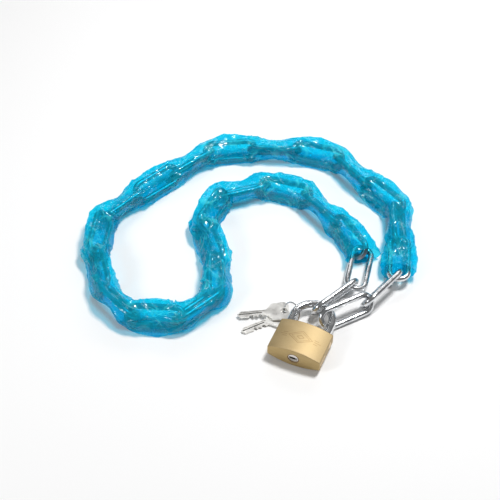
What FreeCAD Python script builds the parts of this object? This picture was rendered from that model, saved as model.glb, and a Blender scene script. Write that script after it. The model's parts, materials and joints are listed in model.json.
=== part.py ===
import FreeCAD, Part
import math
import os

# Chain lock: a welded long-link steel chain in a soft plastic sleeve, both of
# its ends carried on the shackle of a small brass padlock that lies on its
# back, and two flat keys on a wire ring round the shackle's left leg.
#
# Frame: +Z up, the floor is Z = 0, the padlock's bottom end (keyway) faces
# roughly -Y, and the loop of chain lies behind it towards +Y.

os.makedirs("parts", exist_ok=True)
doc = FreeCAD.newDocument("chain_lock")
V = FreeCAD.Vector
R = FreeCAD.Rotation
PL = FreeCAD.Placement

# ------------------------------------------------------------------ the sheet
sheet = doc.addObject("Spreadsheet::Sheet", "Params")
CELLS = [
    ("link_wire", 4.5), ("link_inner_len", 37.6), ("link_inner_wid", 9.5),
    ("sleeve_wid", 20.5), ("sleeve_hgt", 15.7), ("sleeve_corner", 5.5), ("sleeve_wall", 0.55), ("sleeve_bend", 13.0),
    ("body_wid", 40.0), ("body_hgt", 28.0), ("body_edge", 8.0), ("body_thk", 16.4),
    ("body_round", 0.7), ("plug_bore", 7.8), ("leg_bore", 6.16),
    ("shackle_wire", 6.0), ("shackle_span", 29.0), ("shackle_rise", 11.0),
    ("heel_len", 19.0), ("toe_len", 13.6), ("heel_bore_len", 26.0), ("toe_bore_len", 14.3),
    ("latch_wire", 5.0), ("latch_bore", 5.2), ("latch_len", 16.9),
    ("plug_wid", 7.7), ("plug_len", 13.9), ("keyway_hgt", 5.9), ("keyway_wid", 2.0),
    ("pin_wire", 2.5), ("pin_bore", 2.7), ("cam_wid", 7.0), ("cam_thk", 3.0), ("cam_throw", 2.4),
    ("ring_mean", 15.6), ("ring_wire", 1.0), ("key_thk", 1.5), ("key_hole", 5.0),
    ("key_head_wid", 17.0), ("key_blade_wid", 5.4), ("key_len", 38.5), ("key_head_len", 16.5),
]
for i, (alias, value) in enumerate(CELLS):
    sheet.set("A%d" % (i + 1), alias)
    sheet.set("B%d" % (i + 1), repr(value))
    sheet.setAlias("B%d" % (i + 1), alias)
doc.recompute()


def P(name):
    return float(sheet.get(name))


parts = []      # (label, object)


def plane(body, role):
    for f in body.Origin.OriginFeatures:
        if f.Role == role:
            return f
    raise RuntimeError("no plane " + role)


def sketch_on(body, role, name, lift=0.0):
    s = body.newObject("Sketcher::SketchObject", name)
    s.AttachmentSupport = [(plane(body, role), "")]
    s.MapMode = "FlatFace"
    if lift:
        s.AttachmentOffset = PL(V(0, 0, lift), R())
    return s


def named(s, con, name, expr):
    import Sketcher  # noqa
    i = s.addConstraint(con)
    s.renameConstraint(i, name)
    s.setExpression("Constraints." + name, expr)
    return i


import Sketcher
C = Sketcher.Constraint
LS = Part.LineSegment


def new_body(name):
    return doc.addObject("PartDesign::Body", name)


def keep(label, obj, place=None):
    obj.Label = label
    if place is not None:
        obj.Placement = place
    parts.append((label, obj))
    return obj


def cyl(name, radius, height, pos, direction):
    """A cylinder whose sizes are expressions, along direction from pos."""
    c = doc.addObject("Part::Cylinder", name)
    c.setExpression("Radius", radius)
    c.setExpression("Height", height)
    c.Placement = PL(V(*pos), R(V(0, 0, 1), V(*direction)))
    return c


def box(name, lo, hi):
    b = doc.addObject("Part::Box", name)
    b.Length, b.Width, b.Height = hi[0] - lo[0], hi[1] - lo[1], hi[2] - lo[2]
    b.Placement = PL(V(*lo), R())
    return b


def cut(name, base, tools):
    if len(tools) > 1:
        t = doc.addObject("Part::MultiFuse", name + "_tools")
        t.Shapes = tools
    else:
        t = tools[0]
    c = doc.addObject("Part::Cut", name)
    c.Base = base
    c.Tool = t
    return c


def group(name, shapes):
    c = doc.addObject("Part::Compound", name)
    c.Links = shapes
    return c


# ----------------------------------------------------------------- the layout
# Every link: centre, heading, elevation of its long axis and roll about it
# (roll 0 lies flat, 90 stands on edge).
SHIFT = V(0.479, 0.967, 0.000)
LINKS = [
    (70.899, -68.580, 8.404, 27.547, -0.971, 56.0),
    (98.509, -46.815, 8.746, 48.457, -0.145, 118.0),
    (114.117, -16.856, 8.656, 83.549, 0.581, 173.0),
    (116.714, 19.216, 8.447, 87.605, 0.145, 52.0),
    (106.987, 50.624, 8.400, 129.524, -0.000, 142.0),
    (84.336, 79.847, 8.400, 126.230, -0.000, 52.0),
    (56.496, 99.911, 8.400, 162.211, -0.000, 128.0),
    (20.507, 106.110, 8.400, 178.240, -0.000, 52.0),
    (-16.335, 104.601, 8.400, -173.547, -0.000, 128.0),
    (-47.966, 90.717, 8.400, -138.903, -0.000, 51.0),
    (-75.706, 66.234, 8.400, -138.240, -0.000, 128.0),
    (-102.233, 40.499, 8.400, -133.498, -0.000, 52.0),
    (-116.875, 9.774, 8.400, -96.292, -0.000, 135.0),
    (-114.172, -26.280, 8.400, -75.747, -0.000, 52.0),
    (-97.792, -57.999, 8.400, -49.517, -0.000, 129.0),
    (-69.160, -73.297, 8.400, -3.946, -0.000, 38.0),
    (-38.635, -62.466, 8.400, 42.162, -0.000, 138.0),
    (-25.731, -33.130, 8.400, 89.895, -0.000, 45.0),
    (-31.434, 2.601, 8.400, 108.564, -0.000, 142.0),
    (-29.006, 35.510, 8.400, 65.193, -0.000, 52.0),
    (-5.563, 57.548, 8.400, 18.409, -0.000, 142.0),
    (28.661, 57.081, 8.400, -17.712, -0.000, 52.0),
    (56.787, 37.319, 8.400, -52.629, -0.000, 128.0),
    (76.782, 6.199, 8.471, -61.967, -0.221, 48.0),
    (82.896, -26.623, 8.834, -103.005, -1.063, 168.0),
    (62.999, -55.069, 8.948, -139.054, 0.394, 250.0),
]
# The line that the sleeve follows, one point at each interlock, with the start
# and the end of the sleeve.
SLEEVE = [
    (112.585, -30.409, 8.400),
    (115.850, -1.588, 8.400),
    (118.149, 38.108, 8.400),
    (95.907, 64.048, 8.400),
    (73.967, 94.806, 8.400),
    (38.955, 105.639, 8.400),
    (2.031, 106.703, 8.400),
    (-34.576, 102.983, 8.400),
    (-61.849, 78.606, 8.400),
    (-89.508, 53.922, 8.400),
    (-115.454, 27.306, 8.400),
    (-118.987, -7.957, 8.400),
    (-109.873, -44.238, 8.400),
    (-86.080, -72.893, 8.400),
    (-51.633, -75.287, 8.400),
    (-24.930, -51.181, 8.400),
    (-25.568, -14.462, 8.400),
    (-37.555, 18.658, 8.400),
    (-21.812, 52.985, 8.400),
    (10.477, 63.393, 8.400),
    (46.169, 51.961, 8.400),
    (68.125, 22.528, 8.400),
    (86.989, -11.653, 8.400),
    (84.759, -18.559, 8.400),
]
# The padlock's own frame: origin in the middle of the body's top face, X along
# its width, Y towards the shackle, Z out of its front face.
LOCK = PL(V(41.527, -86.045, 8.200) + SHIFT, R(V(0, 0, 1), -23.0))

# ------------------------------------------------------------------ the chain
# A link is one round wire bent to a stadium and butt welded in the middle of
# one leg.
for i, (cx, cy, cz, yaw, pitch, roll) in enumerate(LINKS):
    n = "link_%02d" % (i + 1)
    b = new_body(n + "_body")
    path = sketch_on(b, "XY_Plane", n + "_path")
    hl = P("link_inner_len") / 2 + P("link_wire") / 2
    rb = (P("link_inner_wid") + P("link_wire")) / 2
    s0 = hl - rb
    path.addGeometry(LS(V(0, rb, 0), V(s0, rb, 0)), False)
    path.addGeometry(Part.ArcOfCircle(Part.Circle(V(s0, 0, 0), V(0, 0, 1), rb), -math.pi / 2, math.pi / 2), False)
    path.addGeometry(LS(V(s0, -rb, 0), V(-s0, -rb, 0)), False)
    path.addGeometry(Part.ArcOfCircle(Part.Circle(V(-s0, 0, 0), V(0, 0, 1), rb), math.pi / 2, 3 * math.pi / 2), False)
    path.addGeometry(LS(V(-s0, rb, 0), V(0, rb, 0)), False)
    path.addConstraint([
        C("Tangent", 0, 2, 1, 2), C("Tangent", 1, 1, 2, 1), C("Tangent", 2, 2, 3, 2), C("Tangent", 3, 1, 4, 1),
        C("Coincident", 4, 2, 0, 1), C("Horizontal", 0), C("Horizontal", 2), C("Horizontal", 4),
        C("PointOnObject", 0, 1, -2), C("PointOnObject", 1, 3, -1)])
    named(path, C("DistanceX", -1, 1, 1, 3, s0), "half", "(Params.link_inner_len - Params.link_inner_wid) / 2")
    named(path, C("Radius", 1, rb), "bow", "(Params.link_inner_wid + Params.link_wire) / 2")
    named(path, C("DistanceX", 4, 1, 0, 2, 2 * s0), "straight", "Params.link_inner_len - Params.link_inner_wid")
    ring = sketch_on(b, "YZ_Plane", n + "_wire")
    ring.addGeometry(Part.Circle(V(rb, 0, 0), V(0, 0, 1), P("link_wire") / 2), False)
    ring.addConstraint(C("PointOnObject", 0, 3, -1))
    named(ring, C("Diameter", 0, P("link_wire")), "wire", "Params.link_wire")
    named(ring, C("DistanceX", -1, 1, 0, 3, rb), "offset", "(Params.link_inner_wid + Params.link_wire) / 2")
    pipe = b.newObject("PartDesign::AdditivePipe", n + "_pipe")
    pipe.Profile = ring
    pipe.Spine = (path, ["Edge1", "Edge2", "Edge3", "Edge4", "Edge5"])
    b.Tip = pipe
    keep("link_%02d" % (i + 1), b, PL(V(cx, cy, cz) + SHIFT, R(yaw, pitch, roll)))


# ----------------------------------------------------------------- the sleeve
# One soft tube over the middle of the chain. It is drawn in spans that meet
# end to end, each straight, then bent round one interlock, then straight.
def oval(at, along, grow):
    """Rounded rectangle across the sleeve's line, its long side level."""
    hw, hh, r = P("sleeve_wid") / 2 + grow, P("sleeve_hgt") / 2 + grow, P("sleeve_corner") + grow
    side = V(0, 0, 1).cross(along).normalize()
    up = V(0, 0, 1)
    q = lambda x, z: at + side * x + up * z
    d = r * (1 - math.sqrt(0.5))
    edges = []
    for sx, sz in ((1, 1), (-1, 1), (-1, -1), (1, -1)):
        a = q(sx * hw, sz * (hh - r))
        m = q(sx * (hw - d), sz * (hh - d))
        c = q(sx * (hw - r), sz * hh)
        if sx * sz < 0:
            a, c = c, a
        edges.append(Part.Arc(a, m, c).toShape())
    loop = []
    for k in range(4):
        n = edges[(k + 1) % 4]
        loop += [edges[k], Part.makeLine(edges[k].Vertexes[-1].Point, n.Vertexes[0].Point)]
    area = 4 * hw * hh - (4 - math.pi) * r * r
    return Part.Wire(loop), area


def sleeve_shape():
    wall = P("sleeve_wall")
    bend = P("sleeve_bend")
    pts = [V(*p) + SHIFT for p in SLEEVE]
    spans = []
    start = pts[0]
    total = 0.0
    for k in range(1, len(pts) - 1):
        a, v, c = pts[k - 1], pts[k], pts[k + 1]
        u1 = (v - a).normalize()
        u2 = (c - v).normalize()
        stop = c if k == len(pts) - 2 else (v + c) * 0.5
        turn = u1.getAngle(u2)
        edges = []
        if turn < 0.01:
            edges.append(Part.makeLine(start, stop))
        else:
            t = bend * math.tan(turn / 2)
            t = min(t, (v - start).Length * 0.98, (stop - v).Length * 0.98)
            rr = t / math.tan(turn / 2)
            p1 = v - u1 * t
            p2 = v + u2 * t
            mid_dir = (u2 - u1).normalize()
            m = v + mid_dir * (rr / math.cos(turn / 2) - rr)
            edges = [Part.makeLine(start, p1), Part.Arc(p1, m, p2).toShape(), Part.makeLine(p2, stop)]
        wire = Part.Wire(edges)
        total += wire.Length
        shell = []
        areas = []
        for grow in (wall, 0.0):
            prof, area = oval(start, (v - start).normalize(), grow)
            shell.append(wire.makePipeShell([prof], True, False))
            areas.append(area)
        tube = shell[0].cut(shell[1])
        want = (areas[0] - areas[1]) * wire.Length
        if abs(tube.Volume - want) > 0.02 * want:
            raise RuntimeError("sleeve span %d: %.1f against %.1f" % (k, tube.Volume, want))
        spans.append(tube.Solids[0])
        start = stop
    print("sleeve centre line %.1f mm in %d spans" % (total, len(spans)))
    return Part.makeCompound(spans)


sleeve = doc.addObject("Part::Feature", "sleeve_tube")
sleeve.Shape = sleeve_shape()
keep("sleeve", sleeve)

# ---------------------------------------------------------------- the padlock
# Body: a lens-shaped brass extrusion, drilled for the shackle's two legs, the
# plug, the latch and a row of pin chambers.
b = new_body("lock_body_blank")
s = sketch_on(b, "XZ_Plane", "lens")
hw, he, ht = P("body_wid") / 2, P("body_edge") / 2, P("body_thk") / 2
sag = ht - he
rad = (hw * hw + sag * sag) / (2 * sag)
ang = math.asin(hw / rad)
s.addGeometry(LS(V(hw, -he, 0), V(hw, he, 0)), False)
s.addGeometry(Part.ArcOfCircle(Part.Circle(V(0, ht - rad, 0), V(0, 0, 1), rad), math.pi / 2 - ang, math.pi / 2 + ang), False)
s.addGeometry(LS(V(-hw, he, 0), V(-hw, -he, 0)), False)
s.addGeometry(Part.ArcOfCircle(Part.Circle(V(0, rad - ht, 0), V(0, 0, 1), rad), 3 * math.pi / 2 - ang, 3 * math.pi / 2 + ang), False)
s.addConstraint([C("Coincident", 0, 2, 1, 1), C("Coincident", 1, 2, 2, 1), C("Coincident", 2, 2, 3, 1),
                 C("Coincident", 3, 2, 0, 1), C("Symmetric", 0, 1, 0, 2, -1), C("Symmetric", 1, 1, 1, 2, -2),
                 C("Symmetric", 3, 1, 3, 2, -2), C("Equal", 1, 3)])
named(s, C("DistanceX", 2, 1, 0, 2, 2 * hw), "wid", "Params.body_wid")
named(s, C("DistanceY", 0, 1, 0, 2, 2 * he), "edge", "Params.body_edge")
named(s, C("Radius", 1, rad), "crown", "((Params.body_wid / 2)^2 + ((Params.body_thk - Params.body_edge) / 2)^2) / (Params.body_thk - Params.body_edge)")
pad = b.newObject("PartDesign::Pad", "lens_pad")
pad.Profile = s
pad.setExpression("Length", "Params.body_hgt")
doc.recompute()
b.Tip = pad
doc.recompute()
rnd = doc.addObject("Part::Fillet", "lens_round")
rnd.Base = b
rnd.Edges = [(i + 1, P("body_round"), P("body_round")) for i in range(len(b.Shape.Edges))]
doc.recompute()
if rnd.Shape.isNull() or not rnd.Shape.isValid():
    raise RuntimeError("body rounding failed")

sx = P("shackle_span") / 2
PINS_Y = (-25.0, -21.6, -18.2)
tools = [
    cyl("heel_hole", "Params.leg_bore / 2", "Params.heel_bore_len", (-sx, 0, 0), (0, -1, 0)),
    cyl("toe_hole", "Params.leg_bore / 2", "Params.toe_bore_len", (sx, 0, 0), (0, -1, 0)),
    cyl("plug_hole", "Params.plug_bore / 2", "Params.body_hgt - 4.6", (0, -P("body_hgt"), 0), (0, 1, 0)),
    cyl("latch_hole", "Params.latch_bore / 2", "28.4", (20, -7, 0), (-1, 0, 0)),
    cyl("plug_pin_hole", "0.75", "10.2", (3.75, -15.4, -8.6), (0, 0, 1)),
    cyl("heel_pin_hole", "0.8", "11", (-11.75, -9.6, -8.6), (0, 0, 1)),
]
for k, y in enumerate(PINS_Y):
    tools.append(cyl("chamber_%d" % k, "Params.pin_bore / 2", "17", (20, y, 0), (-1, 0, 0)))
body_cut = cut("lock_body_cut", rnd, tools)
keep("lock_body", body_cut, LOCK)

# The plug turns in the body. Its keyway lies along the body's width.
plug_rod = cyl("plug_rod", "Params.plug_wid / 2", "Params.plug_len", (0, -P("body_hgt") + 0.3, 0), (0, 1, 0))
tang = box("plug_tang", (-1.5, -P("body_hgt") + 0.3 + P("plug_len") - 0.5, -1.0),
           (1.5, -P("body_hgt") + 0.3 + P("plug_len") + 1.6, 1.0))
plug_fuse = doc.addObject("Part::MultiFuse", "plug_blank")
plug_fuse.Shapes = [plug_rod, tang]
kw, kh = P("keyway_wid") / 2, P("keyway_hgt") / 2
groove_out = cyl("groove_out", "Params.plug_wid / 2 + 1", "1.7", (0, -16.25, 0), (0, 1, 0))
groove_in = cyl("groove_in", "Params.plug_wid / 2 - 0.9", "1.7", (0, -16.25, 0), (0, 1, 0))
groove = cut("groove_ring", groove_out, [groove_in])
ptools = [box("keyway", (-kh, -30, -kw), (kh, -16.6, kw)), groove]
for k, y in enumerate(PINS_Y):
    ptools.append(cyl("plug_chamber_%d" % k, "Params.pin_bore / 2", "4", (4.6, y, 0), (-1, 0, 0)))
plug = cut("plug_cut", plug_fuse, ptools)
keep("plug", plug, LOCK)

# The cam sits on the plug's tang, and its eccentric pin draws the latch back.
ytop = -P("body_hgt") + 0.3 + P("plug_len")
cam_disc = cyl("cam_disc", "Params.cam_wid / 2", "Params.cam_thk", (0, ytop, 0), (0, 1, 0))
cam_post = cyl("cam_post", "1.0", "Params.cam_thk + 4.6", (P("cam_throw"), ytop, 0), (0, 1, 0))
cam_fuse = doc.addObject("Part::MultiFuse", "cam_blank")
cam_fuse.Shapes = [cam_disc, cam_post]
cam = cut("cam_cut", cam_fuse, [box("cam_slot", (-1.5, ytop - 0.1, -1.0), (1.5, ytop + 1.6, 1.0))])
keep("cam", cam, LOCK)

# The latch: a round bolt with a cross slot for the cam's pin. Its tip stands
# in the toe leg's notch.
latch_rod = cyl("latch_rod", "Params.latch_wire / 2", "Params.latch_len", (12.5 - P("latch_len"), -7, 0), (1, 0, 0))
latch = cut("latch_cut", latch_rod, [box("latch_slot", (1.1, -9.7, -3), (4.3, -5.7, 3))])
keep("latch", latch, LOCK)

# Shackle: one bent rod. The heel leg has a long flat for its retaining pin,
# the toe leg has the latch notch with a sloping lower flank.
b = new_body("shackle_rod")
path = sketch_on(b, "XY_Plane", "shackle_path")
rise, hl, tl = P("shackle_rise"), P("heel_len"), P("toe_len")
path.addGeometry(LS(V(-sx, -hl, 0), V(-sx, rise, 0)), False)
path.addGeometry(Part.ArcOfCircle(Part.Circle(V(0, rise, 0), V(0, 0, 1), sx), 0, math.pi), False)
path.addGeometry(LS(V(sx, rise, 0), V(sx, -tl, 0)), False)
path.addConstraint([C("Tangent", 0, 2, 1, 2), C("Tangent", 1, 1, 2, 1), C("Vertical", 0),
                    C("Vertical", 2), C("PointOnObject", 1, 3, -2)])
named(path, C("Radius", 1, sx), "arch", "Params.shackle_span / 2")
named(path, C("DistanceY", -1, 1, 1, 3, rise), "rise", "Params.shackle_rise")
named(path, C("DistanceY", 0, 1, -1, 1, hl), "heel", "Params.heel_len")
named(path, C("DistanceY", 2, 2, -1, 1, tl), "toe", "Params.toe_len")
ring = sketch_on(b, "XZ_Plane", "shackle_section", lift=hl)
ring.addGeometry(Part.Circle(V(-sx, 0, 0), V(0, 0, 1), P("shackle_wire") / 2), False)
ring.addConstraint(C("PointOnObject", 0, 3, -1))
named(ring, C("Diameter", 0, P("shackle_wire")), "wire", "Params.shackle_wire")
named(ring, C("DistanceX", 0, 3, -1, 1, sx), "leg", "Params.shackle_span / 2")
pipe = b.newObject("PartDesign::AdditivePipe", "shackle_pipe")
pipe.Profile = ring
pipe.Spine = (path, ["Edge1", "Edge2", "Edge3"])
b.Tip = pipe
doc.recompute()
# heel flat, toe notch and its flank
heel_flat = box("heel_flat", (-sx + 1.9, -17.3, -4), (-sx + 4, -8.7, 4))
notch = doc.addObject("Part::Feature", "toe_notch")
pts = [V(sx - 4, -4.1, -4), V(sx - 1.6, -4.1, -4), V(sx - 1.6, -9.7, -4), V(sx - 3.1, -13.3, -4), V(sx - 4, -13.3, -4)]
notch.Shape = Part.Face(Part.makePolygon(pts + [pts[0]])).extrude(V(0, 0, 8))
toe_ring_out = cyl("toe_end_out", "Params.shackle_wire", "2", (sx, -tl - 1, 0), (0, 1, 0))
toe_cone = doc.addObject("Part::Cone", "toe_end_cone")
toe_cone.setExpression("Radius1", "Params.shackle_wire / 2 - 1.6")
toe_cone.setExpression("Radius2", "Params.shackle_wire / 2 + 0.4")
toe_cone.Height = 2
toe_cone.Placement = PL(V(sx, -tl - 1, 0), R(V(0, 0, 1), V(0, 1, 0)))
toe_end = cut("toe_end", toe_ring_out, [toe_cone])
shackle = cut("shackle_cut", b, [heel_flat, notch, toe_end])
keep("shackle", shackle, LOCK)


# Springs: round wire wound on a helix, with one node for each kind.
def helix(name, radius, wire, length, turns, pos, direction):
    h = doc.addObject("Part::Helix", name + "_helix")
    h.Pitch = (length - wire) / turns
    h.Height = length - wire
    h.Radius = radius
    c = doc.addObject("Part::Circle", name + "_wire")
    c.Radius = wire / 2
    c.Placement = PL(V(radius, 0, 0), R(V(1, 0, 0), 90))
    sw = doc.addObject("Part::Sweep", name + "_coil")
    sw.Sections = [c]
    sw.Spine = (h, ["Edge1"])
    sw.Solid = True
    sw.Frenet = True
    rot = R(V(0, 0, 1), V(*direction))
    sw.Placement = PL(V(*pos) + V(*direction) * (wire / 2), rot)
    return sw


spring = helix("shackle_spring", 2.15, 0.8, 6.6, 3.5, (-sx, -25.9, 0), (0, 1, 0))
g = group("shackle_spring_group", [spring])
keep("shackle_spring", g, LOCK)
spring = helix("latch_spring", 1.9, 0.5, 3.7, 3, (-8.25, -7, 0), (1, 0, 0))
g = group("latch_spring_group", [spring])
keep("latch_spring", g, LOCK)
g = group("pin_spring_group", [helix("pin_spring_%d" % k, 0.95, 0.3, 8.6, 7, (8.9, y, 0), (1, 0, 0))
                               for k, y in enumerate(PINS_Y)])
keep("pin_springs", g, LOCK)

# Pins of the cylinder, drawn at the shear line, where the right key holds them.
g = group("driver_pin_group", [cyl("driver_%d" % k, "Params.pin_wire / 2", "4.6", (4.05, y, 0), (1, 0, 0))
                               for k, y in enumerate(PINS_Y)])
keep("driver_pins", g, LOCK)
g = group("key_pin_group", [cyl("key_pin_%d" % k, "Params.pin_wire / 2", h, (3.7 - float(h), y, 0), (1, 0, 0))
                            for k, (y, h) in enumerate(zip(PINS_Y, ("2.6", "1.9", "2.3")))])
keep("key_pins", g, LOCK)

# Brass plugs that close the drilled chambers, flush with the body's side.
side = [cyl("side_plug_%d" % k, "Params.pin_bore / 2", "2.4", (17.6, y, 0), (1, 0, 0)) for k, y in enumerate(PINS_Y)]
side.append(cyl("side_plug_latch", "Params.latch_bore / 2", "2.0", (18.0, -7, 0), (1, 0, 0)))
g = group("side_plug_group", side)
keep("side_plugs", g, LOCK)
pin = cyl("plug_pin_rod", "0.75", "8.6", (3.75, -15.4, -7.7), (0, 0, 1))
keep("plug_pin", pin, LOCK.multiply(pin.Placement))
pin = cyl("heel_pin_rod", "0.8", "8.2", (-11.75, -9.6, -6.2), (0, 0, 1))
keep("heel_pin", pin, LOCK.multiply(pin.Placement))

# ------------------------------------------------------------- ring and keys
# The ring is a loop of thin wire with a butt gap.
ring = doc.addObject("Part::Torus", "key_ring_wire")
ring.setExpression("Radius1", "Params.ring_mean / 2")
ring.setExpression("Radius2", "Params.ring_wire / 2")
ring.Angle3 = 352.0
al, be = math.radians(48), math.radians(53)
e1 = V(math.cos(al), 0, math.sin(al))
e2 = V(-math.sin(al) * math.sin(be), math.cos(be), math.cos(al) * math.sin(be))
e3 = e1.cross(e2)
ring_local = PL(V(-16.5, 11.0, -0.5), R(e1, e2, e3, "ZXY").multiply(R(V(0, 0, 1), 20)))
keep("key_ring", ring, LOCK.multiply(ring_local))


# Key: a flat blank with a rounded head, a ring hole, three cuts along one edge
# of the blade and a shallow groove on each face. Its origin is the ring hole.
def make_key(name, cuts):
    b = new_body(name + "_body")
    s = sketch_on(b, "XY_Plane", name + "_outline")
    hw, bw = P("key_head_wid") / 2, P("key_blade_wid") / 2
    x0 = -3.6
    x1 = x0 + P("key_head_len")
    x2 = x0 + P("key_len")
    y = bw
    pts = [(x0 + 3.2, -hw), (x1 - 4.0, -hw + 0.6), (x1, -bw - 0.6), (x1 + 1.0, -bw), (x2 - 3.0, -bw), (x2, -0.4),
           (x2 - 0.3, 0.8), (x2 - 2.2, bw)]
    for cx, depth in reversed(cuts):
        pts += [(x1 + cx + 1.5, bw), (x1 + cx + 0.45, bw - depth), (x1 + cx - 0.45, bw - depth), (x1 + cx - 1.5, bw)]
    pts += [(x1 + 1.0, bw), (x1, bw + 0.6), (x1 - 4.0, hw - 0.6), (x0 + 3.2, hw), (x0, hw - 3.2), (x0, -hw + 3.2)]
    n = len(pts)
    for k in range(n):
        a, c = pts[k], pts[(k + 1) % n]
        s.addGeometry(LS(V(a[0], a[1], 0), V(c[0], c[1], 0)), False)
    for k in range(n):
        s.addConstraint(C("Coincident", k, 2, (k + 1) % n, 1))
    for k in range(n):
        s.addConstraint(C("Block", k))
    pad = b.newObject("PartDesign::Pad", name + "_pad")
    pad.Profile = s
    pad.Midplane = True
    pad.setExpression("Length", "Params.key_thk")
    h = sketch_on(b, "XY_Plane", name + "_hole", lift=0)
    h.addGeometry(Part.Circle(V(0, 0, 0), V(0, 0, 1), P("key_hole") / 2), False)
    h.addConstraint(C("Coincident", 0, 3, -1, 1))
    named(h, C("Diameter", 0, P("key_hole")), "dia", "Params.key_hole")
    poc = b.newObject("PartDesign::Pocket", name + "_eye")
    poc.Profile = h
    poc.Type = 1
    poc.Midplane = True
    b.Tip = poc
    doc.recompute()
    grooves = []
    for sgn in (1, -1):
        z = sgn * P("key_thk") / 2
        grooves.append(box(name + "_groove_%d" % (sgn + 1), (x1 + 2.0, -1.9, min(z, z - sgn * 0.35)),
                           (x2 + 1, -0.8, max(z, z - sgn * 0.35))))
    eye = math.pi * (P("key_hole") / 2) ** 2 * P("key_thk")
    if pad.Shape.Volume - poc.Shape.Volume < 0.95 * eye:
        raise RuntimeError(name + ": the eye was not cut")
    return cut(name + "_cut", b, grooves)


keep("key_1", make_key("key_1", [(5.0, 1.3), (8.4, 0.7), (11.8, 1.6)]),
     LOCK.multiply(PL(V(-23.07, 12.9, -4.1), R(206.6, 3.2, 0.0))))
keep("key_2", make_key("key_2", [(5.0, 1.3), (8.4, 0.7), (11.8, 1.6)]),
     LOCK.multiply(PL(V(-22.2, 10.9, -6.0), R(228.0, 2.0, 0.0))))

# ----------------------------------------------------------- checks, then out
doc.recompute()
for o in doc.Objects:
    if "Invalid" in o.State or "Error" in o.State:
        raise RuntimeError("%s: %s" % (o.Name, o.State))
for label, o in parts:
    sh = o.Shape
    if sh.isNull() or not sh.isValid() or len(sh.Solids) < 1:
        raise RuntimeError(label + ": bad shape")
lo = [1e9] * 3
hi = [-1e9] * 3
for label, o in parts:
    bb = o.Shape.BoundBox
    for k, (a, c) in enumerate(((bb.XMin, bb.XMax), (bb.YMin, bb.YMax), (bb.ZMin, bb.ZMax))):
        lo[k], hi[k] = min(lo[k], a), max(hi[k], c)
    o.Shape.exportStep("parts/%s.step" % label)
print("nodes", len(parts), "box", [round(v, 2) for v in lo], [round(v, 2) for v in hi])
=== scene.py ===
import bpy
import json
import math
import numpy as np
from mathutils import Vector, Matrix


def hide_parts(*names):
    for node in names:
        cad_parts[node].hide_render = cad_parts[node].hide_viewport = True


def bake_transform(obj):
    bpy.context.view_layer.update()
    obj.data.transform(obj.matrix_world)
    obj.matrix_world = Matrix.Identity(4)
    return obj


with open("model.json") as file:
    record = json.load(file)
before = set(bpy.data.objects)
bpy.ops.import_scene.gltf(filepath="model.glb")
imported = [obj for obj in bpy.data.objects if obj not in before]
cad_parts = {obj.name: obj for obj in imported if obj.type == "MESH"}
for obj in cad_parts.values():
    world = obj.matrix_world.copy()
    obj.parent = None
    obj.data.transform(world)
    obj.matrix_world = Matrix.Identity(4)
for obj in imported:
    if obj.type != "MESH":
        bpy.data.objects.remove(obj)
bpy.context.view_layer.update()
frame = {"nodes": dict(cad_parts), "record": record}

NODES = frame["nodes"]
MM = 0.001


# ---------------------------------------------------------------- node helpers
def mat(name):
    m = bpy.data.materials.new(name)
    m.use_nodes = True
    nt = m.node_tree
    for n in list(nt.nodes):
        nt.nodes.remove(n)
    out = nt.nodes.new("ShaderNodeOutputMaterial")
    return m, nt, out


def node(nt, kind, **kw):
    n = nt.nodes.new(kind)
    for k, v in kw.items():
        if k.startswith("in_"):
            n.inputs[k[3:].replace("_", " ")].default_value = v
        else:
            setattr(n, k, v)
    return n


def put(n, name, value):
    n.inputs[name].default_value = value


def link(nt, a, b):
    nt.links.new(a, b)


def math_node(nt, op, a, b=None, clamp=False):
    n = nt.nodes.new("ShaderNodeMath")
    n.operation = op
    n.use_clamp = clamp
    for i, x in enumerate((a, b)):
        if x is None:
            continue
        if isinstance(x, (int, float)):
            n.inputs[i].default_value = x
        else:
            nt.links.new(x, n.inputs[i])
    return n.outputs[0]


def ramp(nt, fac, stops):
    n = nt.nodes.new("ShaderNodeValToRGB")
    e = n.color_ramp.elements
    while len(e) > len(stops):
        e.remove(e[-1])
    while len(e) < len(stops):
        e.new(0.5)
    for i, (p, c) in enumerate(stops):
        e[i].position = p
        e[i].color = (*c, 1.0) if len(c) == 3 else c
    nt.links.new(fac, n.inputs[0])
    return n.outputs[0]


def noise(nt, vec, scale, detail=3.0, rough=0.5, distortion=0.0):
    n = nt.nodes.new("ShaderNodeTexNoise")
    n.inputs["Scale"].default_value = scale
    n.inputs["Detail"].default_value = detail
    n.inputs["Roughness"].default_value = rough
    n.inputs["Distortion"].default_value = distortion
    nt.links.new(vec, n.inputs["Vector"])
    return n.outputs[0]


def coords(nt, rot=0.0, scale=(1, 1, 1), loc=(0, 0, 0)):
    tc = nt.nodes.new("ShaderNodeTexCoord")
    mp = nt.nodes.new("ShaderNodeMapping")
    mp.vector_type = "POINT"
    mp.inputs["Rotation"].default_value = (0, 0, rot)
    mp.inputs["Scale"].default_value = scale
    mp.inputs["Location"].default_value = loc
    nt.links.new(tc.outputs["Object"], mp.inputs["Vector"])
    return mp.outputs[0]


def bump(nt, height, strength, distance, normal=None):
    b = nt.nodes.new("ShaderNodeBump")
    b.inputs["Strength"].default_value = strength
    b.inputs["Distance"].default_value = distance
    nt.links.new(height, b.inputs["Height"])
    if normal is not None:
        nt.links.new(normal, b.inputs["Normal"])
    return b.outputs[0]


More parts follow.
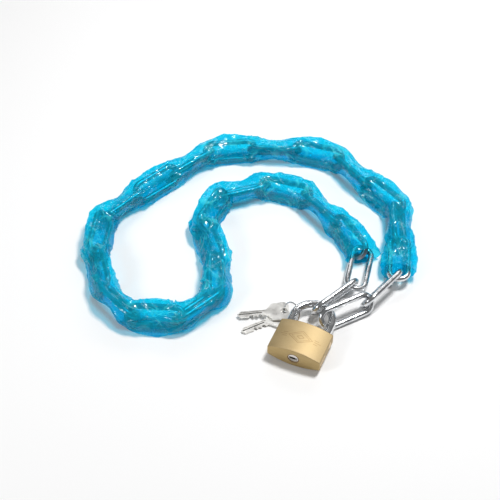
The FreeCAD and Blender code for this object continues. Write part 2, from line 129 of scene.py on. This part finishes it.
# ------------------------------------------------------------------- materials
def zinc(name="bright_zinc", base=(0.72, 0.735, 0.75), rough=(0.16, 0.30), dark=(0.46, 0.475, 0.50)):
    """Bright zinc plate on welded wire: a little cloudy, with fine draw lines and small pits."""
    m, nt, out = mat(name)
    p = node(nt, "ShaderNodeBsdfPrincipled")
    put(p, "Metallic", 1.0)
    v = coords(nt)
    cloud = noise(nt, v, 140.0, 4.0, 0.6)
    fine = noise(nt, v, 2200.0, 3.0, 0.6)
    col = ramp(nt, cloud, [(0.30, dark), (0.52, base), (0.75, tuple(min(1, c * 1.09) for c in base))])
    link(nt, col, p.inputs["Base Color"])
    r = nt.nodes.new("ShaderNodeMapRange")
    put(r, "From Min", 0.3); put(r, "From Max", 0.7); put(r, "To Min", rough[0]); put(r, "To Max", rough[1])
    link(nt, cloud, r.inputs["Value"])
    link(nt, r.outputs[0], p.inputs["Roughness"])
    link(nt, bump(nt, fine, 0.10, 0.00012), p.inputs["Normal"])
    link(nt, p.outputs[0], out.inputs["Surface"])
    return m


LOCK_ANG = math.radians(-23.0)


def brass(name, base=(0.80, 0.62, 0.36), pale=(0.90, 0.74, 0.49), deep=(0.68, 0.51, 0.28), rough=0.46, metallic=1.0, engraved=False, frame_at=None):
    """Satin brass: brushed lines across the body's width, slight tarnish clouds, and a plain geometric motif on the face."""
    m, nt, out = mat(name)
    p = node(nt, "ShaderNodeBsdfPrincipled")
    put(p, "Metallic", metallic)
    v = coords(nt)
    # the lock's own axes: x' along the width
    rot = nt.nodes.new("ShaderNodeVectorRotate")
    rot.rotation_type = "Z_AXIS"
    put(rot, "Angle", -LOCK_ANG)
    if frame_at is not None:
        put(rot, "Center", tuple(frame_at))
    link(nt, v, rot.inputs["Vector"])
    sc = nt.nodes.new("ShaderNodeVectorMath")
    sc.operation = "MULTIPLY"
    sc.inputs[1].default_value = (90.0, 4200.0, 4200.0)
    link(nt, rot.outputs[0], sc.inputs[0])
    brush = noise(nt, sc.outputs[0], 1.0, 4.0, 0.65)
    cloud = noise(nt, v, 85.0, 3.0, 0.55)
    mixf = math_node(nt, "ADD", math_node(nt, "MULTIPLY", brush, 0.55), math_node(nt, "MULTIPLY", cloud, 0.45))
    col = ramp(nt, mixf, [(0.32, deep), (0.5, base), (0.68, pale)])
    height = brush
    if engraved and frame_at is not None:
        sub = nt.nodes.new("ShaderNodeVectorMath")
        sub.operation = "SUBTRACT"
        sub.inputs[1].default_value = tuple(frame_at)
        link(nt, rot.outputs[0], sub.inputs[0])
        sep = nt.nodes.new("ShaderNodeSeparateXYZ")
        link(nt, sub.outputs[0], sep.inputs[0])
        X, Y, Z = sep.outputs[0], sep.outputs[1], sep.outputs[2]
        ax, ay = math_node(nt, "ABSOLUTE", X), math_node(nt, "ABSOLUTE", Y)

        def line_of(dist, width):
            # 1 on the line, 0 off it
            q = math_node(nt, "ABSOLUTE", dist)
            mr = nt.nodes.new("ShaderNodeMapRange")
            mr.interpolation_type = "SMOOTHSTEP"
            put(mr, "From Min", width * 0.35); put(mr, "From Max", width); put(mr, "To Min", 1.0); put(mr, "To Max", 0.0)
            link(nt, q, mr.inputs["Value"])
            return mr.outputs[0]

        # three nested rhombs and a pair of level bars on each side
        rh = math_node(nt, "ADD", math_node(nt, "MULTIPLY", ax, 0.62), ay)
        l1 = line_of(math_node(nt, "SUBTRACT", rh, 0.0056), 0.00027)
        l2 = line_of(math_node(nt, "SUBTRACT", rh, 0.0042), 0.00021)
        l3 = line_of(math_node(nt, "SUBTRACT", rh, 0.0016), 0.00027)
        bars = []
        for yb in (0.0, 0.0017):
            d = math_node(nt, "SUBTRACT", ay, yb)
            ln = line_of(d, 0.00024)
            lim = math_node(nt, "MULTIPLY", math_node(nt, "GREATER_THAN", ax, 0.0104 - yb * 0.2), math_node(nt, "LESS_THAN", ax, 0.0152 - yb * 1.1))
            bars.append(math_node(nt, "MULTIPLY", ln, lim))
        tot = math_node(nt, "MAXIMUM", math_node(nt, "MAXIMUM", l1, l2), l3)
        for b in bars:
            tot = math_node(nt, "MAXIMUM", tot, b)
        geo = nt.nodes.new("ShaderNodeNewGeometry")
        sn = nt.nodes.new("ShaderNodeSeparateXYZ")
        link(nt, geo.outputs["Normal"], sn.inputs[0])
        up = math_node(nt, "GREATER_THAN", sn.outputs[2], 0.9)
        eng = math_node(nt, "MULTIPLY", tot, up, True)
        mx = nt.nodes.new("ShaderNodeMix")
        mx.data_type = "RGBA"
        link(nt, eng, mx.inputs[0])
        link(nt, col, mx.inputs[6])
        mx.inputs[7].default_value = (0.30, 0.19, 0.075, 1)
        col = mx.outputs[2]
        height = math_node(nt, "SUBTRACT", math_node(nt, "MULTIPLY", brush, 0.12), eng)
    if engraved and frame_at is not None:
        # painted light: the bottom end face gets its own tint, a little brighter and warmer, matched to how that face
        # is lit; with a dark edge round the plug
        g2 = nt.nodes.new("ShaderNodeNewGeometry")
        dt = nt.nodes.new("ShaderNodeVectorMath")
        dt.operation = "DOT_PRODUCT"
        dt.inputs[1].default_value = (math.sin(LOCK_ANG), -math.cos(LOCK_ANG), 0.0)
        link(nt, g2.outputs["True Normal"], dt.inputs[0])
        endf = math_node(nt, "GREATER_THAN", dt.outputs["Value"], 0.8)
        dx = math_node(nt, "MULTIPLY", X, X)
        dz = math_node(nt, "ADD", Z, LOCK_TOP - PLUG_Z)
        dd = math_node(nt, "SQRT", math_node(nt, "ADD", dx, math_node(nt, "MULTIPLY", dz, dz)))
        rim = math_node(nt, "LESS_THAN", dd, PLUG_R + 0.00055)
        end_face_painted_tint = nt.nodes.new("ShaderNodeMix")
        end_face_painted_tint.data_type = "RGBA"
        end_face_painted_tint.blend_type = "MULTIPLY"
        link(nt, endf, end_face_painted_tint.inputs[0])
        link(nt, col, end_face_painted_tint.inputs[6])
        end_face_painted_tint.inputs[7].default_value = (1.08, 1.06, 0.93, 1)
        m3 = nt.nodes.new("ShaderNodeMix")
        m3.data_type = "RGBA"
        link(nt, math_node(nt, "MULTIPLY", endf, rim), m3.inputs[0])
        link(nt, end_face_painted_tint.outputs[2], m3.inputs[6])
        m3.inputs[7].default_value = (0.16, 0.07, 0.04, 1)
        col = m3.outputs[2]
    link(nt, col, p.inputs["Base Color"])
    r = nt.nodes.new("ShaderNodeMapRange")
    put(r, "From Min", 0.3); put(r, "From Max", 0.7); put(r, "To Min", rough - 0.05); put(r, "To Max", rough + 0.1)
    link(nt, mixf, r.inputs["Value"])
    link(nt, r.outputs[0], p.inputs["Roughness"])
    link(nt, bump(nt, height, 0.25, 0.00012), p.inputs["Normal"])
    link(nt, p.outputs[0], out.inputs["Surface"])
    return m


def vinyl(name="blue_vinyl", share=(0.31, 0.21), inside=False):
    """Soft translucent blue vinyl film: tints what lies behind it, glossy, with fine creases."""
    m, nt, out = mat(name)
    v = coords(nt)
    cloud = noise(nt, v, 110.0, 4.0, 0.6, 0.4)
    t = node(nt, "ShaderNodeBsdfTransparent")
    if inside:
        put(t, "Color", (0.93, 0.985, 1.0, 1))
    else:
        tint = ramp(nt, cloud, [(0.3, (0.04, 0.785, 0.965)), (0.7, (0.08, 0.86, 0.995))])
        link(nt, tint, t.inputs["Color"])
    p = node(nt, "ShaderNodeBsdfPrincipled")
    put(p, "Metallic", 0.0)
    put(p, "Specular IOR Level", 0.3)
    put(p, "IOR", 1.53)
    if not inside:
        put(p, "Coat Weight", 1.0)
        put(p, "Coat IOR", 1.6)
        put(p, "Coat Roughness", 0.07)
    col = ramp(nt, cloud, [(0.28, (0.0, 0.58, 0.97)), (0.5, (0.0, 0.71, 1.0)), (0.74, (0.0, 0.82, 1.0))])
    # folded edges, paler and less clear: partly painted highlight standing in for the light the creases catch, partly
    # the paler look of film folded edge-on
    at = nt.nodes.new("ShaderNodeAttribute")
    at.attribute_name = "fold_highlight"
    fold_highlight = at.outputs["Fac"]
    cm = nt.nodes.new("ShaderNodeMix")
    cm.data_type = "RGBA"
    link(nt, fold_highlight, cm.inputs[0])
    link(nt, col, cm.inputs[6])
    cm.inputs[7].default_value = (0.06, 0.90, 1.0, 1)
    link(nt, cm.outputs[2], p.inputs["Base Color"])
    fine = noise(nt, v, 210.0, 3.0, 0.5, 0.8)
    micro = noise(nt, v, 700.0, 2.0, 0.5)
    crease = nt.nodes.new("ShaderNodeTexNoise")
    crease.noise_type = "RIDGED_MULTIFRACTAL"
    for key, val in (("Scale", 78.0), ("Detail", 2.0), ("Roughness", 0.5), ("Lacunarity", 2.2), ("Offset", 0.9), ("Gain", 1.6), ("Distortion", 0.35)):
        crease.inputs[key].default_value = val
    link(nt, v, crease.inputs["Vector"])
    h = math_node(nt, "ADD", math_node(nt, "MULTIPLY", fine, 0.5), math_node(nt, "MULTIPLY", micro, 0.12))
    h = math_node(nt, "ADD", h, math_node(nt, "MULTIPLY", crease.outputs[0], 0.55))
    nrm = bump(nt, h, 0.55, 0.0006)
    link(nt, nrm, p.inputs["Normal"])
    if not inside:
        link(nt, nrm, p.inputs["Coat Normal"])
    r = nt.nodes.new("ShaderNodeMapRange")
    put(r, "From Min", 0.3); put(r, "From Max", 0.7); put(r, "To Min", 0.13); put(r, "To Max", 0.28)
    link(nt, fine, r.inputs["Value"])
    link(nt, r.outputs[0], p.inputs["Roughness"])
    fac = nt.nodes.new("ShaderNodeMapRange")
    put(fac, "From Min", 0.3); put(fac, "From Max", 0.7); put(fac, "To Min", share[0]); put(fac, "To Max", share[1])
    link(nt, cloud, fac.inputs["Value"])
    mx = node(nt, "ShaderNodeMixShader")
    opac = math_node(nt, "ADD", fac.outputs[0], math_node(nt, "MULTIPLY", fold_highlight, 0.24), True)
    link(nt, opac, mx.inputs[0])
    link(nt, t.outputs[0], mx.inputs[1])
    link(nt, p.outputs[0], mx.inputs[2])
    link(nt, mx.outputs[0], out.inputs["Surface"])
    return m


# lock axes at the fixed angle LOCK_ANG, with the centre and top taken from the imported body
def verts(n):
    o = NODES[n]
    return np.array([v.co[:] for v in o.data.vertices], float)


wv = np.array([math.cos(LOCK_ANG), math.sin(LOCK_ANG), 0.0])
vv = np.array([-wv[1], wv[0], 0.0])
body = verts("lock_body")
bx, by = body @ wv, body @ vv
LOCK_C = wv * (bx.min() + bx.max()) / 2 + vv * (by.min() + by.max()) / 2 + np.array([0, 0, body[:, 2].max()])

plug = verts("plug")
px = (plug - LOCK_C) @ wv
PLUG_R = (px.max() - px.min()) / 2
LOCK_TOP = float(body[:, 2].max())
PLUG_Z = float((plug[:, 2].min() + plug[:, 2].max()) / 2)
ZINC = zinc()
# painted shade: a darker copy of the zinc, for the links that lie under the sleeve
ZINC_SHADED = zinc("zinc_painted_shade", (0.31, 0.325, 0.36), (0.34, 0.48), (0.18, 0.19, 0.215))
SHACKLE = zinc("plated_shackle", (0.78, 0.79, 0.80), (0.09, 0.18), (0.60, 0.61, 0.63))
WIRE = zinc("drawn_wire", (0.62, 0.63, 0.65), (0.18, 0.30), (0.40, 0.41, 0.43))
PIN = zinc("ground_steel", (0.55, 0.55, 0.57), (0.25, 0.4), (0.38, 0.38, 0.4))
NICKEL = zinc("nickel_key", (0.80, 0.79, 0.76), (0.28, 0.42), (0.66, 0.65, 0.62))
PLUG = zinc("plated_plug", (0.82, 0.80, 0.78), (0.16, 0.26), (0.66, 0.63, 0.60))
BRASS = brass("satin_brass", base=(0.485, 0.365, 0.19), pale=(0.545, 0.42, 0.235), deep=(0.42, 0.305, 0.15), rough=0.52, metallic=0.7, engraved=True, frame_at=tuple(LOCK_C))
BRASS_IN = brass("turned_brass", base=(0.72, 0.50, 0.22), pale=(0.84, 0.62, 0.32), deep=(0.46, 0.30, 0.12), rough=0.26)
VINYL = vinyl()
VINYL_IN = vinyl("blue_vinyl_inside", (0.07, 0.04), True)



def key_metal(n):
    """Key nickel with painted shade for the blade's milled groove: a near-black stripe stands in for the shade in the
    groove.
    """
    q = verts(n)
    mean = q.mean(0)
    flat = q[:, :2] - mean[:2]
    _, _, vt = np.linalg.svd(flat, full_matrices=False)
    a = vt[0]
    t = flat @ a
    w = flat @ np.array([-a[1], a[0]])
    lo_w, hi_w = np.ptp(w[t < t.min() + 0.012]), np.ptp(w[t > t.max() - 0.012])
    if lo_w > hi_w:
        a = -a
        t = -t
        w = -w
    tip = t.min()
    blade = w[(t < tip + 0.014)]
    mid = (blade.min() + blade.max()) / 2
    m = zinc("nickel_" + n, (0.82, 0.81, 0.78), (0.28, 0.42), (0.70, 0.69, 0.66))
    nt = m.node_tree
    p = [x for x in nt.nodes if x.type == "BSDF_PRINCIPLED"][0]
    src = p.inputs["Base Color"].links[0].from_socket
    v = coords(nt)
    sub = nt.nodes.new("ShaderNodeVectorMath")
    sub.operation = "SUBTRACT"
    sub.inputs[1].default_value = tuple(mean)
    link(nt, v, sub.inputs[0])

    def dot(vec):
        d = nt.nodes.new("ShaderNodeVectorMath")
        d.operation = "DOT_PRODUCT"
        d.inputs[1].default_value = vec
        link(nt, sub.outputs[0], d.inputs[0])
        return d.outputs["Value"]

    along, across = dot((a[0], a[1], 0.0)), dot((-a[1], a[0], 0.0))
    off = math_node(nt, "ABSOLUTE", math_node(nt, "SUBTRACT", across, float(mid)))
    # painted shade: a near-black stripe down the middle of the blade, for the shade in its milled groove
    groove_painted_shade = math_node(nt, "MULTIPLY", math_node(nt, "LESS_THAN", off, 0.00042), math_node(nt, "LESS_THAN", along, float(tip + 0.0185)))
    groove_painted_shade = math_node(nt, "MULTIPLY", groove_painted_shade, math_node(nt, "GREATER_THAN", along, float(tip + 0.0012)))
    mx = nt.nodes.new("ShaderNodeMix")
    mx.data_type = "RGBA"
    link(nt, groove_painted_shade, mx.inputs[0])
    link(nt, src, mx.inputs[6])
    mx.inputs[7].default_value = (0.07, 0.068, 0.062, 1)
    link(nt, mx.outputs[2], p.inputs["Base Color"])
    return m


by_slot = {"brass": BRASS_IN, "shackle_steel": SHACKLE, "steel": PIN, "spring_steel": WIRE, "zinc_link": ZINC, "key_nickel": NICKEL, "sleeve": VINYL}
slots = {s["node"]: s["material_slot"] for s in frame["record"]["subparts"]}
for n, o in NODES.items():
    m = by_slot.get(slots.get(n), ZINC)
    if n == "lock_body":
        m = BRASS
    if n == "plug":
        m = PLUG
    if n.startswith("link_") and 4 <= int(n[5:]) <= 24:
        m = ZINC_SHADED        # painted shade: the links under the sleeve get a darker copy of the zinc, standing in for the shade inside the sleeve
    if n.startswith("key_") and n != "key_ring":
        m = key_metal(n)
    o.data.materials.clear()
    o.data.materials.append(m)


# ------------------------------------------------------------------- the sleeve
def axes_of(n):
    """Centre, long axis, width axis and normal of a link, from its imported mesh."""
    q = verts(n)
    mean = q.mean(0)
    _, _, vt = np.linalg.svd(q - mean, full_matrices=False)
    c = np.zeros(3)
    for a in vt:
        t = q @ a
        c += a * (t.min() + t.max()) / 2
    return c, vt[0], vt[1], vt[2]


LINKS = {k: axes_of("link_%02d" % k) for k in range(1, 27)}
order = sorted(LINKS)
AX = {}
for k in order:
    c, u, w_, n_ = LINKS[k]
    nxt = LINKS[k + 1][0] if k < 26 else None
    prv = LINKS[k - 1][0] if k > 1 else None
    d = (nxt - c) if nxt is not None else (c - prv)
    if np.dot(u, d) < 0:
        u = -u
    AX[k] = (c, u, w_, n_)

HALF = 21.05 * MM      # from a link's centre to its bow's wire centre
RB = 7.0 * MM          # wire centre radius of the bow
RW = 2.25 * MM


def joint_at(k):
    """Where link k and link k + 1 hold each other."""
    a = AX[k][0] + AX[k][1] * HALF
    b = AX[k + 1][0] - AX[k + 1][1] * HALF
    return (a + b) / 2


FIRST, LAST = 3, 24       # links whose whole length is inside the sleeve, with link 3's first bow just out
I = {k: joint_at(k) for k in range(2, 26)}
start = AX[3][0] - AX[3][1] * 13.5 * MM
stop = I[24] + (AX[24][1] * 0.7 + AX[25][1] * 0.3) * 5.0 * MM
poly = [start] + [I[k] for k in range(3, 25)] + [stop]
poly = np.array(poly)


def resample(p, step):
    seg = np.linalg.norm(np.diff(p, axis=0), axis=1)
    s = np.concatenate([[0], np.cumsum(seg)])
    n = int(round(s[-1] / step)) + 1
    t = np.linspace(0, s[-1], n)
    return np.stack([np.interp(t, s, p[:, i]) for i in range(3)], 1), t


def gauss(a, sigma, step, axis=0):
    r = int(3 * sigma / step) + 1
    k = np.exp(-0.5 * (np.arange(-r, r + 1) * step / sigma) ** 2)
    k /= k.sum()
    if axis == 0:
        lo = 2 * a[:1] - a[1:r + 1][::-1]
        hi = 2 * a[-1:] - a[-r - 1:-1][::-1]
        q = np.concatenate([lo, a, hi])
        return np.apply_along_axis(lambda x: np.convolve(x, k, "valid"), 0, q)
    q = np.concatenate([a[:, -r:], a, a[:, :r]], 1)
    return np.apply_along_axis(lambda x: np.convolve(x, k, "valid"), 1, q)


STEP = 1.0 * MM
line, _ = resample(poly, STEP)
line = gauss(line, 5.0 * MM, STEP)
line[:, 2] = np.maximum(line[:, 2], 7.4 * MM)
line, S = resample(line, STEP)
tan = np.gradient(line, axis=0)
tan /= np.linalg.norm(tan, axis=1)[:, None]
side = np.cross(np.array([0, 0, 1.0]), tan)
side /= np.linalg.norm(side, axis=1)[:, None]
up = np.cross(tan, side)
NS, NT = len(line), 104
TH = np.arange(NT) * 2 * np.pi / NT
total = S[-1]


def station(p):
    return S[np.argmin(np.linalg.norm(line - p, axis=1))]


s_mid = {k: station(AX[k][0]) for k in range(3, 26)}
s_int = {k: station(I[k]) for k in range(3, 25)}
s_mid[3] = max(s_mid[3], 0.0)

# --- noise, repeating round the tube
rs = np.random.RandomState(11)
_tab = rs.rand(256, 256)


def vnoise(u, v, pu=None):
    """Smooth value noise; repeats every pu along u."""
    iu, iv = np.floor(u).astype(int), np.floor(v).astype(int)
    fu, fv = u - iu, v - iv
    fu, fv = fu * fu * (3 - 2 * fu), fv * fv * (3 - 2 * fv)

    def g(a, b):
        if pu:
            a = np.mod(a, pu)
        return _tab[np.mod(a, 256), np.mod(b, 256)]

    return (g(iu, iv) * (1 - fu) + g(iu + 1, iv) * fu) * (1 - fv) + (g(iu, iv + 1) * (1 - fu) + g(iu + 1, iv + 1) * fu) * fv


def ridge(n):
    return 1 - np.abs(2 * n - 1)


SS, TT = np.meshgrid(S, TH, indexing="ij")
smm = SS / MM

# --- the section round each link: wide in the link's own plane at its middle, round where two links meet
a_ax = np.full(NS, 9.6)
b_ax = np.full(NS, 9.6)
phi = np.zeros(NS)
g_all = np.zeros(NS)
mids = np.array([s_mid[k] for k in range(3, 26)])
edges = [-1.0] + [s_int[k] for k in range(3, 25)] + [9.0]
roll = {}
for k in range(3, 26):
    c, u, w_, n_ = AX[k]
    i = int(np.argmin(np.abs(S - s_mid[k])))
    roll[k] = math.atan2(np.dot(w_, up[i]), np.dot(w_, side[i]))
for k in range(3, 26):
    lo, hi = edges[k - 3], edges[k - 2]
    sel = (S >= lo) & (S < hi)
    mid = s_mid[k]
    left = mid - (lo if lo > 0 else mid - 19.5 * MM)
    right = (hi if hi < 9 else mid + 19.5 * MM) - mid
    d = np.where(S[sel] < mid, (mid - S[sel]) / left, (S[sel] - mid) / right)
    g = np.clip(1 - d, 0, 1)
    g = g * g * (3 - 2 * g)
    g = g ** 0.8
    a_ax[sel] = 9.7 + 2.9 * g
    b_ax[sel] = 9.7 - 2.7 * g
    phi[sel] = roll[k]
    g_all[sel] = g
# a link's flatter or fuller stretches
wob = vnoise(np.zeros(NS) + 3.3, S / MM / 23.0)
a_ax += (wob - 0.5) * 1.3
b_ax += (vnoise(np.zeros(NS) + 9.1, S / MM / 17.0) - 0.5) * 1.2

ct, st_ = np.cos(TT - phi[:, None]), np.sin(TT - phi[:, None])
ex = 2.0 - 0.35 * g_all[:, None]
r0 = (np.abs(ct / a_ax[:, None]) ** ex + np.abs(st_ / b_ax[:, None]) ** ex) ** (-1 / ex) * MM


# --- what the links inside need
def stadium(k, n=150):
    c, u, w_, n_ = AX[k]
    h = HALF - RB
    t = np.linspace(-np.pi / 2, np.pi / 2, n // 3)
    q = np.concatenate([
        np.stack([h + RB * np.cos(t), RB * np.sin(t)], 1),
        np.stack([np.linspace(h, -h, n // 2), np.full(n // 2, RB)], 1),
        np.stack([-h - RB * np.cos(t), -RB * np.sin(t)], 1),
        np.stack([np.linspace(-h, h, n // 2), np.full(n // 2, -RB)], 1)])
    return c + q[:, :1] * u + q[:, 1:] * w_


wire = np.concatenate([stadium(k) for k in range(2, 27)])
cosd = np.cos(TH[:, None] - TH[None, :])
need = np.zeros((NS, NT))
for i in range(NS):
    d = wire - line[i]
    z = d @ tan[i]
    near = (np.abs(z) < 5.0 * MM) & (np.linalg.norm(d, axis=1) < 16 * MM)
    if not near.any():
        continue
    d, z = d[near], np.abs(z[near])
    x, y = d @ side[i], d @ up[i]
    h = (x[:, None] * np.cos(TH) + y[:, None] * np.sin(TH) - 0.55 * np.maximum(z - 1.5 * MM, 0)[:, None]).max(0) + RW + 0.55 * MM
    with np.errstate(divide="ignore", invalid="ignore"):
        q = np.where(cosd > 0.15, h[None, :] / np.maximum(cosd, 0.15), 1.0)
    need[i] = q.min(1)
need = np.maximum(need, gauss(need, 1.2 * MM, STEP))
r = ((r0 / MM) ** 10 + (need / MM) ** 10) ** 0.1 * MM

# --- folds
fold_highlight = np.zeros((NS, NT))
curv = np.gradient(np.unwrap(np.arctan2(tan[:, 1], tan[:, 0]))) / STEP      # turn to the left is positive
inner = np.cos(TT) * np.sign(curv)[:, None]                                # 1 on the inside of a bend
tight = np.clip(np.abs(curv)[:, None] * 22 * MM, 0, 1)
U = TT / (2 * np.pi)
warp = vnoise(U * 6, smm / 13.0, 6) - 0.5
warp2 = vnoise(U * 4 + 7.7, smm / 31.0, 4) - 0.5
# long pleats that run along the sleeve and wind round it where the links cross
pleat = ridge(vnoise(U * 11 + warp * 1.6 + smm * 0.0, smm / 26.0 + warp2, 11)) ** 3.2
diag = ridge(vnoise(U * 9 + warp * 1.2, smm / 11.0 + U * 6, 9)) ** 4.0
diag2 = ridge(vnoise(U * 10 + 3.1 + warp, smm / 9.0 - U * 7, 10)) ** 4.5
cross = ridge(vnoise(U * 5 + warp * 0.8, smm / 2.6 + warp * 2.2, 5)) ** 2.0
lump = vnoise(U * 4, smm / 12.0 + 5, 4) - 0.5
calm = g_all[:, None]                                                      # 1 over a link's middle
amp_pleat = (0.70 + 0.75 * (1 - calm)) * MM
amp_diag = (0.65 + 0.75 * (1 - calm)) * MM
disp = pleat * amp_pleat + diag * amp_diag + diag2 * amp_diag * 0.8
disp += cross * (0.14 + 0.95 * tight * np.clip(inner + 0.25, 0, 1)) * MM
disp += lump * 0.6 * MM
# the sides where the flat tube was creased stand out as an uneven lip
lip = np.exp(-((np.mod(TT - phi[:, None] + np.pi / 2, np.pi) - np.pi / 2) / 0.26) ** 2)
lipn = vnoise(np.zeros_like(TT) + 5.5 + np.round(np.cos(TT - phi[:, None])) * 3, smm / 8.5)
disp += lip * calm * (0.2 + 0.8 * ridge(lipn) ** 2) * MM
disp = np.maximum(disp, -0.25 * MM)
# how sharply the film is folded, for its colour: partly painted highlight along the creases, partly the paler film at a
# sharp fold
seen = vnoise(U * 5 + 2.2, smm / 14.0 + 40, 5)
fold_highlight = np.maximum.reduce([pleat ** 3.0 * 0.75, diag ** 2.6, diag2 ** 2.6, cross ** 5 * (0.25 + 0.75 * tight)])
fold_highlight = np.clip((fold_highlight - 0.28) * 1.7, 0, 1) * np.clip((seen - 0.42) * 3.0, 0.0, 1)
# painted highlight: thin bright threads added to the fold mask, like streaks of light on the film
thread = ridge(vnoise(U * 16 + warp * 2.2 + smm / 40.0, smm / 7.0 + warp2 * 2, 16)) ** 9
thread2 = ridge(vnoise(U * 13 + 5.5 - smm / 23.0 * 0 + warp2 * 3, smm / 4.5 + U * 9, 13)) ** 10
fold_highlight = np.clip(fold_highlight + 0.75 * np.maximum(thread, thread2) * np.clip((vnoise(U * 4 + 1.1, smm / 10.0 + 80, 4) - 0.48) * 4.0, 0, 1), 0, 1)
r = np.maximum(r + disp - 0.35 * MM, need * 0.0 + np.minimum(need, r))

# the two cut ends lie a little flatter
for s_end, sgn in ((0.0, 1), (total, -1)):
    d = np.abs(S - s_end)
    f = np.clip(1 - d / (9 * MM), 0, 1)[:, None]
    flare = 1 + 0.05 * f
    r *= flare

P = line[:, None, :] + r[:, :, None] * (np.cos(TT)[:, :, None] * side[:, None, :] + np.sin(TT)[:, :, None] * up[:, None, :])
# the film that would go under the floor spreads out along it
low = 0.35 * MM
under = np.clip(low + 0.6 * MM - P[:, :, 2], 0, None)
out_dir = np.cos(TT)[:, :, None] * side[:, None, :]
P += out_dir * under[:, :, None] * 0.35
z = P[:, :, 2]
P[:, :, 2] = np.where(z < low + 0.6 * MM, low + 0.6 * MM * np.exp(np.clip((z - low - 0.6 * MM) / (0.6 * MM), -6, 0)), z)


def normals(P):
    ds = np.gradient(P, axis=0)
    dt = np.roll(P, -1, 1) - np.roll(P, 1, 1)
    n = np.cross(dt, ds)
    n /= np.maximum(np.linalg.norm(n, axis=2), 1e-12)[:, :, None]
    return n


NRM = normals(P)
c0 = (P - line[:, None, :])
if (NRM * c0).sum() < 0:
    NRM = -NRM
soft = NRM.copy()
for _ in range(2):
    soft = (soft + np.roll(soft, 1, 1) + np.roll(soft, -1, 1)) / 3
soft /= np.linalg.norm(soft, axis=2)[:, :, None]
WALL = 0.5 * MM
Q = P - soft * WALL
Q[:, :, 2] = np.maximum(Q[:, :, 2], 0.75 * MM)

cuts = [0] + [int(np.argmin(np.abs(S - s_mid[k]))) for k in range(4, 25)] + [NS - 1]
pieces = []
for n in range(len(cuts) - 1):
    i0, i1 = cuts[n], cuts[n + 1]
    k = n + 3
    rows = i1 - i0 + 1
    first, last = n == 0, n == len(cuts) - 2
    vo = P[i0:i1 + 1].reshape(-1, 3)
    vi = Q[i0:i1 + 1].reshape(-1, 3)
    co = np.concatenate([vo, vi])
    nrm = np.concatenate([NRM[i0:i1 + 1].reshape(-1, 3), -NRM[i0:i1 + 1].reshape(-1, 3)])
    off = len(vo)
    fv = fold_highlight[i0:i1 + 1].reshape(-1)
    faces = []
    for a in range(rows - 1):
        for b in range(NT):
            c = (b + 1) % NT
            q = (a * NT + b, a * NT + c, (a + 1) * NT + c, (a + 1) * NT + b)
            faces.append(q)
            faces.append(tuple(off + x for x in reversed(q)))
    for flag, a in ((first, 0), (last, rows - 1)):
        if flag:
            for b in range(NT):
                c = (b + 1) % NT
                q = (a * NT + b, off + a * NT + b, off + a * NT + c, a * NT + c)
                faces.append(q if a == 0 else tuple(reversed(q)))
    me = bpy.data.meshes.new("sleeve_span_%02d" % k)
    me.from_pydata(co.tolist(), [], faces)
    me.update()
    fa = me.attributes.new("fold_highlight", "FLOAT", "POINT")
    fa.data.foreach_set("value", np.concatenate([fv, fv * 0.0]).astype(np.float32))
    f0 = me.polygons[0]
    if np.dot(np.array(f0.normal), NRM[i0, 0]) < 0:
        me.flip_normals()
    for pgn in me.polygons:
        pgn.use_smooth = True
    me.materials.append(VINYL)
    me.materials.append(VINYL_IN)
    for pgn in me.polygons:
        if min(pgn.vertices) >= off:
            pgn.material_index = 1
    ob = bpy.data.objects.new("sleeve_span_%02d" % k, me)
    bpy.context.scene.collection.objects.link(ob)
    me.normals_split_custom_set_from_vertices(nrm.tolist())
    a, b = AX[k][0], AX[k + 1][0]
    d = (b - a) / np.linalg.norm(b - a)
    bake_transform(ob)
    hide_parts("sleeve")
    pieces.append(ob)


# ---------------------------------------------------------------------- setting
def area(name, loc, target, size, power, color=(1, 1, 1)):
    d = bpy.data.lights.new(name, "AREA")
    d.shape = "RECTANGLE"
    d.size, d.size_y = size
    d.energy = power
    d.color = color
    o = bpy.data.objects.new(name, d)
    o.location = loc
    o.rotation_mode = "QUATERNION"
    o.rotation_quaternion = (Vector(target) - Vector(loc)).to_track_quat("-Z", "Y")
    bpy.context.scene.collection.objects.link(o)
    return o


scene = bpy.context.scene
world = bpy.data.worlds.new("studio")
scene.world = world
world.use_nodes = True
bg = world.node_tree.nodes["Background"]
bg.inputs[0].default_value = (1, 1, 1, 1)
bg.inputs[1].default_value = 0.18

area("key", (0.34, 0.20, 1.08), (0, 0, 0), (0.26, 0.22), 10.8)
area("fill", (-0.75, -0.45, 0.6), (0, 0, 0), (0.25, 0.25), 2.6)
area("back", (0.15, 0.85, 0.65), (0, 0, 0), (0.8, 0.22), 1.6)

fm = bpy.data.meshes.new("floor")
q = 3.0
fm.from_pydata([(-q, -q, 0), (q, -q, 0), (q, q, 0), (-q, q, 0)], [], [(0, 1, 2, 3)])
floor = bpy.data.objects.new("floor", fm)
scene.collection.objects.link(floor)
m, nt, out = mat("floor_white")
p = node(nt, "ShaderNodeBsdfPrincipled")
put(p, "Base Color", (0.93, 0.93, 0.93, 1))
put(p, "Roughness", 0.8)
put(p, "Specular IOR Level", 0.1)
link(nt, p.outputs[0], out.inputs["Surface"])
fm.materials.append(m)

ELEV, DIST, LENS = math.radians(47.565), 0.9, 83.07
AIM = Vector((0.479 * MM, 0.967 * MM, 0.0))
cd = bpy.data.cameras.new("camera")
cd.sensor_width = 36.0
cd.sensor_fit = "HORIZONTAL"
cd.lens = LENS
cd.clip_start, cd.clip_end = 0.05, 20
cam = bpy.data.objects.new("camera", cd)
scene.collection.objects.link(cam)
cam.location = AIM + Vector((0, -math.cos(ELEV), math.sin(ELEV))) * DIST
cam.rotation_mode = "QUATERNION"
cam.rotation_quaternion = (AIM - cam.location).to_track_quat("-Z", "Y")
scene.camera = cam
scene.view_settings.view_transform = "Standard"
